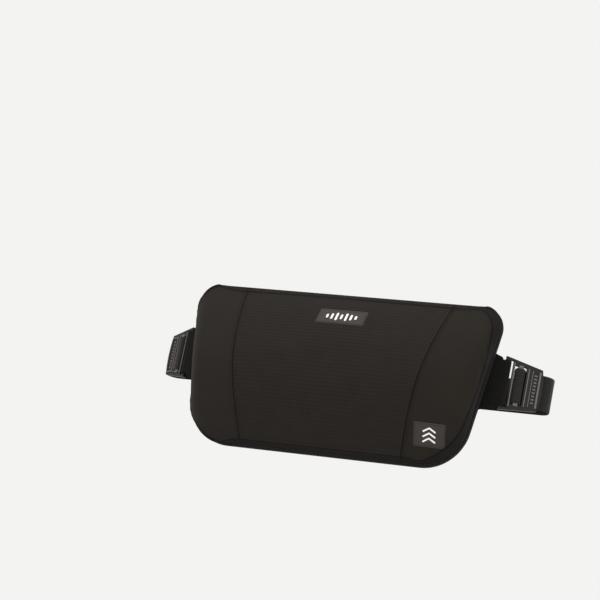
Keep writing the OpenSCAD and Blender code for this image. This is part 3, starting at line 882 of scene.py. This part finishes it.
def patch(name, centre, size, lift, thickness, cells=(44, 18), radius=1.5 * MM, base=smooth_base):
    """A thin patch with rounded corners that lies on the cover."""
    w, h = size[0] / 2, size[1] / 2
    outer = np.zeros((cells[1] + 1, cells[0] + 1, 3))
    inner, uv = outer.copy(), np.zeros((cells[1] + 1, cells[0] + 1, 2))
    for i in range(cells[1] + 1):
        for j in range(cells[0] + 1):
            v, u = h * (1 - 2 * i / cells[1]), w * (2 * j / cells[0] - 1)
            qx, qy = max(abs(u) - (w - radius), 0), max(abs(v) - (h - radius), 0)
            over = math.hypot(qx, qy)
            if over > radius:
                k = radius / over
                u = math.copysign(w - radius + qx * k, u)
                v = math.copysign(h - radius + qy * k, v)
            point, normal = base(centre[0] + u, centre[1] + v)
            inset = max(0.0, rounded_inset(u, v, w, h, radius))
            rise = thickness * smoothstep(0.35 + inset / (1.2 * MM))
            outer[i, j] = point + normal * (lift + rise)
            inner[i, j] = point + normal * (lift - 0.3 * MM)
            uv[i, j] = (u, v)
    return shell(name, outer, inner, grid_faces(cells[1], cells[0]), uv)


def tube_faces(start, rings, sides):
    """Faces of a closed tube. Its rings of points follow each other from start."""
    faces = []
    for ring in range(rings - 1):
        for k in range(sides):
            a, b = start + ring * sides + k, start + ring * sides + (k + 1) % sides
            faces.append((a, b, b + sides, a + sides))
    last = start + (rings - 1) * sides
    return faces + [tuple(range(start + sides - 1, start - 1, -1)), tuple(range(last, last + sides))]


def bar_mesh(parts, name, centre, lift, base=smooth_base):
    """Flat rounded bars on a patch. Each is (x, z, angle, length, width) about the centre."""
    verts, faces, uv = [], [], []
    sides = 16
    for x, z, angle, length, width in parts:
        r = width / 2
        ring = []
        for k in range(sides):
            a = 2 * math.pi * (k + 0.5) / sides
            px = math.cos(a) * r + math.copysign(length / 2 - r, math.cos(a))
            ring.append((px, math.sin(a) * r))
        c, s = math.cos(angle), math.sin(angle)
        start = len(verts)
        for top, k in ((0.0, 1.0), (0.16 * MM, 1.0), (0.22 * MM, 0.9)):
            for px, pz in ring:
                u, v = x + (px * c - pz * s) * k, z + (px * s + pz * c) * k
                point, normal = base(centre[0] + u, centre[1] + v)
                verts.append(point + normal * (lift + top))
                uv.append((u, v))
        faces += tube_faces(start, 3, sides)
    return link_mesh(name, verts, faces, uv)


def stitch_mesh(name, runs, length=3.0 * MM, gap=1.3 * MM, radius=0.32 * MM):
    """Rows of sewn stitches along runs of (point, normal), each half sunk in the cloth."""
    verts, faces = [], []
    rings, sides = 5, 6
    for run in runs:
        points = np.array([p for p, _ in run], float)
        normals = np.array([n for _, n in run], float)
        s = run_length(points)
        count = max(1, int(s[-1] / (length + gap)))
        step = s[-1] / count
        for k in range(count):
            stations = k * step + gap / 2 + np.linspace(0, step - gap, rings)
            for q, at in enumerate(stations):
                p, n = at_length(points, s, at), at_length(normals, s, at)
                t = at_length(points, s, at + 0.2 * MM) - at_length(points, s, at - 0.2 * MM)
                side = np.cross(t / max(np.linalg.norm(t), 1e-9), n)
                bow = math.sin(math.pi * q / (rings - 1))
                r = radius * (0.35 + 0.65 * bow)
                centre = p + n * radius * (0.9 * bow - 0.3)
                for m in range(sides):
                    a = 2 * math.pi * m / sides
                    verts.append(centre + (side * math.cos(a) + n * math.sin(a)) * r)
            faces += tube_faces(len(verts) - rings * sides, rings, sides)
    return link_mesh(name, verts, faces, np.array(verts)[:, [0, 2]])


HEAVY_STITCH = (2.2 * MM, 0.9 * MM, 0.26 * MM)
FINE_STITCH = (1.8 * MM, 0.8 * MM, 0.22 * MM)


def sew(name, runs, *sizes, body="cushion"):
    """Sews rows of stitches. sizes, where given: a stitch's length, gap and radius."""
    dress(stitch_mesh(name, runs, *sizes), "thread", body)


def rectangle_run(centre, size, inset, base, lift):
    w, h = size[0] / 2 - inset, size[1] / 2 - inset
    corners = [(-w, -h), (w, -h), (w, h), (-w, h), (-w, -h)]
    run = []
    for (x0, z0), (x1, z1) in zip(corners, corners[1:]):
        for f in np.linspace(0, 1, 12)[:-1]:
            point, normal = base(centre[0] + x0 + (x1 - x0) * f, centre[1] + z0 + (z1 - z0) * f)
            run.append((point + normal * lift, normal))
    run.append(run[0])
    return run


LABEL_LIFT, LABEL_T = 0.1 * MM, 0.6 * MM
BAR_HEIGHTS = (5, 7.5, 10, 6.5, 10, 7.5, 5)


def label(node, print_bars):
    """A sewn label: patch, stitched edge and a plain printed mark."""
    low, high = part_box(node)
    centre = ((low.x + high.x) / 2, (low.z + high.z) / 2)
    size = (high.x - low.x, high.z - low.z)
    cloth = patch(node + "_patch", centre, size, LABEL_LIFT, LABEL_T)
    dress(cloth, "label_cloth", "cushion", replaces=[node])
    top = LABEL_LIFT + LABEL_T
    dress(bar_mesh(print_bars, node + "_print", centre, top), "label_print", "cushion")
    sew(node + "_stitches", [rectangle_run(centre, size, 1.3 * MM, smooth_base, top)], *FINE_STITCH)


front_bars = [((k - 3) * 5.6 * MM, 0, math.pi / 2, h * MM, 2.6 * MM) for k, h in enumerate(BAR_HEIGHTS)]
side_bars = [(s * 3.4 * MM, (k - 1) * 5 * MM, -s * 0.5, 8.6 * MM, 1.7 * MM)
             for k in range(3) for s in (-1, 1)]
label("front_label", front_bars)
label("side_label", side_bars)


def seam_run(side, inside):
    """Topstitching on the side panel beside the long seam."""
    run = []
    for z in np.linspace(HALF_H - 5 * MM, 5 * MM - HALF_H, 120):
        x = seam_x(z) + inside
        run.append(on_front(side * x, z))
    return run


sew("seam_topstitching", [seam_run(s, 3.4 * MM) for s in (-1, 1)])


def back_run():
    """The stitched channel of the back panel, a fixed distance inside the outline."""
    run = []
    dx, dz = np.gradient(OUTLINE[:, 0]), np.gradient(OUTLINE[:, 1])
    size = np.maximum(np.hypot(dx, dz), 1e-9)
    for k in range(0, len(OUTLINE), 4):
        x = OUTLINE[k, 0] - dz[k] / size[k] * CHANNEL
        z = OUTLINE[k, 1] + dx[k] / size[k] * CHANNEL
        run.append(on_back(x, z))
    return run


sew("back_channel_stitches", [back_run()])


# ------------------------------------------------------------------ strap, tabs and buckles

HINGE = Vector(JOINTS["right_buckle_tilt"]["pos_m"])
PLATE_TILT = math.radians(34)
WEB_T = 1.6 * MM
PLATE_LEN, MAIN_N = 42 * MM, 3.8 * MM
REAR_Y = 53.4 * MM
CLIP = Vector((0, 51 * MM, STRAP_Z))


def on_plate(p, n):
    """A point p along the plate and n behind it, in x and y."""
    c, s = math.cos(PLATE_TILT), math.sin(PLATE_TILT)
    return np.array([HINGE.x + p * c - n * s, HINGE.y + p * s + n * c])


def wrap_arc():
    """The bend of the webbing round the edge of the chair back."""
    start = on_plate(PLATE_LEN + 4 * MM, MAIN_N)
    r = (REAR_Y - start[1]) / (1 + math.cos(PLATE_TILT))
    centre = start + r * np.array([-math.sin(PLATE_TILT), math.cos(PLATE_TILT)])
    headings = np.radians(np.arange(180, math.degrees(PLATE_TILT) - 1, -8))
    return [centre + r * np.array([math.sin(h), -math.cos(h)]) for h in headings]


def plate_run():
    """Centre line of the webbing from the wrap through both slots to its free tail."""
    spots = [(24.5, 3.8), (20.9, 2.9), (19.5, 0), (19.3, -2.95), (17.7, -4.35), (12, -4.35), (10.4, -2.95),
             (10.2, 0), (10.4, 4), (12, 5.8), (22, 5.8), (34, 5.8), (44, 5.8)]
    return [on_plate(p * MM, n * MM) for p, n in spots]


def clip_run():
    """Centre line of the sewn end and the loop round the clip's bar, up to the rear run."""
    bar, r = np.array([34 * MM, CLIP.y]), 3.2 * MM
    sewn = REAR_Y - WEB_T - 0.05 * MM
    loop = [bar + r * np.array([math.cos(a), math.sin(a)]) for a in np.radians(np.arange(270, 89, -18))]
    start = [(84 * MM, sewn), (70 * MM, sewn), (58 * MM, sewn), (44 * MM, CLIP.y - r)]
    return start + loop + [(44 * MM, CLIP.y + r), (58 * MM, REAR_Y)]


def smooth_route(points, spacing):
    """A rounded line through the points, with even spacing."""
    p = np.array(points, float)
    for _ in range(2):
        cut = np.empty((2 * len(p), 2))
        cut[0::2], cut[1::2] = p, p
        cut[1:-1:2] = 0.8 * p[:-1] + 0.2 * p[1:]
        cut[2::2] = 0.2 * p[:-1] + 0.8 * p[1:]
        p = cut
    s = run_length(p)
    at = np.linspace(0, s[-1], max(3, int(s[-1] / spacing)))
    return at_length(p, s, at), at


def ribbon(name, points, side, low, high, thickness, spacing=1.6 * MM, cells=20):
    """A band of webbing along a route in x and y. Its edges are numbers or functions of x."""
    route, s = smooth_route(points, spacing)
    d = np.gradient(route, axis=0)
    d /= np.linalg.norm(d, axis=1, keepdims=True)
    n = np.stack([-d[:, 1], d[:, 0]], -1)
    across = np.concatenate([[0, 0.012, 0.035], np.linspace(0.08, 0.92, cells - 5), [0.965, 0.988, 1]])
    edge = np.minimum(across, 1 - across)
    half = thickness / 2 * np.sqrt(np.clip(1 - (1 - np.minimum(1, edge / 0.035)) ** 2, 0.02, 1))
    outer = np.zeros((len(route), len(across), 3))
    inner = outer.copy()
    uv = np.zeros((len(route), len(across), 2))
    for i, (x, y) in enumerate(route):
        z0 = low(x) if callable(low) else low
        z1 = high(x) if callable(high) else high
        z = z0 + (z1 - z0) * across
        for k, sign in ((outer, 1), (inner, -1)):
            k[i, :, 0] = side * (x + n[i, 0] * sign * half)
            k[i, :, 1] = y + n[i, 1] * sign * half
            k[i, :, 2] = z
        uv[i] = np.stack([np.full(len(across), s[i]), z], -1)
    return shell(name, outer, inner, grid_faces(len(route) - 1, len(across) - 1, flip=side < 0), uv)


def straight_run(a, b, n=12):
    return [(x, REAR_Y) for x in np.linspace(a, b, n)]


def straps():
    """Both halves of the strap. The right half is split where the clip's slack ends."""
    tail = wrap_arc() + plate_run()
    join = 0.15
    whole = clip_run() + straight_run(0.075, 0.19) + tail
    edges = (STRAP_LOW, STRAP_HIGH, WEB_T)
    left = ribbon("strap_left_webbing", whole, -1, *edges)
    rear = ribbon("strap_right_rear_webbing", clip_run() + straight_run(0.075, join), 1, *edges)
    wrap = ribbon("strap_right_wrap_webbing", straight_run(join, 0.19, 5) + tail, 1, *edges)
    for piece, node in ((left, "strap_left"), (rear, "strap_right"), (wrap, "strap_right")):
        dress(piece, "webbing", None, replaces=[node])
    for piece, side, body in ((left, -1, "left_buckle"), (wrap, 1, "right_buckle")):
        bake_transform(piece)
    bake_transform(rear)


straps()


def box_stitch(side, body, name):
    """A sewn box with a cross, on both faces of the doubled webbing beside the clip."""
    x0, x1 = 61 * MM, 81 * MM
    z0, z1 = STRAP_LOW + 4 * MM, STRAP_HIGH - 4 * MM
    corners = [(x0, z0), (x1, z0), (x1, z1), (x0, z1), (x0, z0), (x1, z1)]
    paths = [corners, [(x1, z0), (x0, z1)]]
    runs = []
    for y, out in ((REAR_Y + WEB_T / 2, 1), (REAR_Y - 1.5 * WEB_T - 0.05 * MM, -1)):
        for path in paths:
            runs.append([((side * x, y, z), (0, out, 0)) for x, z in path])
    sew(name, runs, *HEAVY_STITCH, body=body)


box_stitch(-1, "cushion", "box_stitch_left")
box_stitch(1, "clip_plug", "box_stitch_right")


TAB_START = 166 * MM


def tab_edge(top):
    """Height of a tab's upper or lower edge as a function of x, least at the hinge."""
    low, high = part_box("anchor_tab_right")
    mid = STRAP_Z
    reach = (high.z if top else low.z) - mid
    loop = math.copysign(25 * MM, reach)
    neck = HINGE.x - 5.5 * MM

    def edge(x):
        if x >= neck:
            return mid + loop
        f = (x - TAB_START) / (neck - TAB_START)
        return mid + reach + (loop + math.copysign(2.5 * MM, reach) - reach) * min(1, max(0, f))
    return edge


def tab(side, name, node):
    """Doubled fabric tab, sewn in at the rim and looped round the buckle's hinge bar."""
    r = 3.2 * MM
    centre = np.array([HINGE.x, HINGE.y])
    turn = [centre + r * np.array([math.cos(a), math.sin(a)]) for a in np.radians(np.arange(-95, 115, 15))]
    front = [(TAB_START, -3.0 * MM), (176 * MM, -2.6 * MM), (184 * MM, -1.2 * MM)]
    rear = [(184.5 * MM, 2.2 * MM), (178 * MM, -0.6 * MM), (TAB_START, -1.4 * MM)]
    low, high = tab_edge(False), tab_edge(True)
    piece = ribbon(name, front + turn + rear, side, low, high, 1.3 * MM, 1.0 * MM)
    dress(piece, "tab_cloth", "cushion", replaces=[node])
    runs = []
    for x in (176 * MM, 179 * MM):
        spots = np.linspace(low(x) + 3 * MM, high(x) - 3 * MM, 12)
        runs.append([((side * x, -3.3 * MM + (x - 176 * MM) * 0.17, z), (0, -1, 0)) for z in spots])
    sew(name + "_stitches", runs, *HEAVY_STITCH)


tab(-1, "tab_left_fabric", "anchor_tab_left")
tab(1, "tab_right_fabric", "anchor_tab_right")


# ------------------------------------------------------------------ pieces that stay as designed

PLATE_FACE = 2 * MM


def plate_plastic(side):
    """The side plates' plastic, with painted highlights: their raised lines are lighter than their faces."""
    out = Vector((side * math.sin(PLATE_TILT), -math.cos(PLATE_TILT), 0))
    begins = out.dot(Vector((side * HINGE.x, HINGE.y, 0))) + PLATE_FACE + 0.2 * MM
    name = "plate_plastic_right" if side > 0 else "plate_plastic_left"
    return plastic_material(name, PLASTIC_COLOUR, 0.45, (tuple(out), begins))


MATERIALS["plate_left"] = plate_plastic(-1)
MATERIALS["plate_right"] = plate_plastic(1)


def finish_node(node, material, bevel):
    """Gives a designed piece its material and softens its moulded edges."""
    obj = frame["nodes"][node]
    obj.data.materials.clear()
    obj.data.materials.append(MATERIALS[material])
    if bevel:
        weld = obj.modifiers.new("weld", "WELD")
        weld.merge_threshold = 0.01 * MM
        edge = obj.modifiers.new("edge", "BEVEL")
        edge.width = bevel
        edge.segments = 2
        edge.limit_method = "ANGLE"
        edge.angle_limit = math.radians(35)
        edge.harden_normals = True
        edge.use_clamp_overlap = True


NODE_FINISH = {
    "side_buckle_left": ("plate_left", 0.3), "side_buckle_right": ("plate_right", 0.3),
    "clip_female": ("buckle_plastic", 0.5), "clip_male": ("buckle_plastic", 0.5),
    "clip_prong_upper": ("buckle_plastic", 0.4), "clip_prong_lower": ("buckle_plastic", 0.4),
    "zip_slider": ("zip_metal", 0.2), "zip_pull": ("zip_metal", 0.2), "zip_stops": ("zip_metal", 0.15),
    "zip_chain": ("zip_teeth", 0.2), "zip_tape_upper": ("tab_cloth", 0), "zip_tape_lower": ("tab_cloth", 0),
    "stiffener_board": ("board", 0), "support_foam": ("foam", 0), "memory_foam": ("memory_foam", 0),
}
for node, (material, bevel) in NODE_FINISH.items():
    finish_node(node, material, bevel * MM)


# ------------------------------------------------------------------ stage, light and camera

FLOOR_Z = -1.65
SKY = (1.0, 0.995, 0.985, 1)
SKY_STRENGTH = 0.9


def stage_floor():
    """A wide pale floor under the object."""
    rings, spokes = 12, 64
    verts = [(0, 0, FLOOR_Z)]
    for r in range(1, rings + 1):
        radius = 9.0 * (r / rings) ** 2
        for k in range(spokes):
            a = 2 * math.pi * k / spokes
            verts.append((radius * math.cos(a), radius * math.sin(a), FLOOR_Z))
    faces = [(0, 1 + k, 1 + (k + 1) % spokes) for k in range(spokes)]
    for r in range(rings - 1):
        for k in range(spokes):
            a, b = 1 + r * spokes + k, 1 + r * spokes + (k + 1) % spokes
            faces.append((a, a + spokes, b + spokes, b))
    floor = link_mesh("floor", verts, faces)
    mat, tree, shader = start_material("floor", 0.9, Specular_IOR_Level=0.0)
    tone = mixed(tree, noise(tree, 3.0), (0.74, 0.74, 0.73), (0.76, 0.76, 0.75))
    tree.links.new(tone, shader.inputs["Base Color"])
    length = tree.nodes.new("ShaderNodeVectorMath")
    length.operation = "LENGTH"
    tree.links.new(tree.nodes.new("ShaderNodeTexCoord").outputs["Object"], length.inputs[0])
    fade = math_node(tree, "MAXIMUM", scaled(tree, length.outputs["Value"], 0.4, -1.0), 0.0)
    far = math_node(tree, "MINIMUM", fade, 1.0)
    glow = tree.nodes.new("ShaderNodeEmission")
    glow.inputs[0].default_value = SKY
    glow.inputs[1].default_value = SKY_STRENGTH
    blend = tree.nodes.new("ShaderNodeMixShader")
    tree.links.new(far, blend.inputs[0])
    tree.links.new(shader.outputs[0], blend.inputs[1])
    tree.links.new(glow.outputs[0], blend.inputs[2])
    tree.links.new(blend.outputs[0], tree.nodes["Material Output"].inputs[0])
    floor.data.materials.append(mat)


def softbox(name, place, size, power):
    """An area light that faces the origin."""
    data = bpy.data.lights.new(name, "AREA")
    data.shape = "RECTANGLE"
    data.size, data.size_y = size
    data.energy = power
    lamp = bpy.data.objects.new(name, data)
    lamp.location = place
    lamp.rotation_mode = "QUATERNION"
    lamp.rotation_quaternion = (-Vector(place)).to_track_quat("-Z", "Y")
    bpy.context.scene.collection.objects.link(lamp)


def camera():
    """Camera at the view of the reference: azimuth, elevation and roll, in degrees."""
    a, e, roll = math.radians(23.7), math.radians(-13.0), math.radians(11.2)
    right = Vector((math.cos(a), math.sin(a), 0))
    up = Vector((-math.sin(a) * math.sin(e), math.cos(a) * math.sin(e), math.cos(e)))
    back = Vector((math.sin(a) * math.cos(e), -math.cos(a) * math.cos(e), math.sin(e)))
    x_axis = math.cos(roll) * right + math.sin(roll) * up
    y_axis = -math.sin(roll) * right + math.cos(roll) * up
    data = bpy.data.cameras.new("camera")
    data.lens, data.sensor_width = 132.0, 36.0
    data.shift_x, data.shift_y = -0.051, 0.118
    data.clip_end = 100
    cam = bpy.data.objects.new("camera", data)
    cam.rotation_mode = "QUATERNION"
    cam.rotation_quaternion = Matrix((x_axis, y_axis, back)).transposed().to_quaternion()
    cam.location = Vector((0, -25 * MM, 0)) + back * 2.391
    bpy.context.scene.collection.objects.link(cam)
    bpy.context.scene.camera = cam


stage_floor()
world = bpy.data.worlds.new("studio")
world.use_nodes = True
world.node_tree.nodes["Background"].inputs[0].default_value = SKY
world.node_tree.nodes["Background"].inputs[1].default_value = SKY_STRENGTH
bpy.context.scene.world = world
bpy.context.scene.view_settings.view_transform = "Standard"
softbox("key", (-1.3, -2.2, 2.8), (1.3, 1.3), 50)
softbox("fill", (2.6, -1.6, 1.2), (1.2, 1.2), 20)
softbox("rear", (1.0, 2.8, 2.2), (1.4, 1.2), 45)
camera()
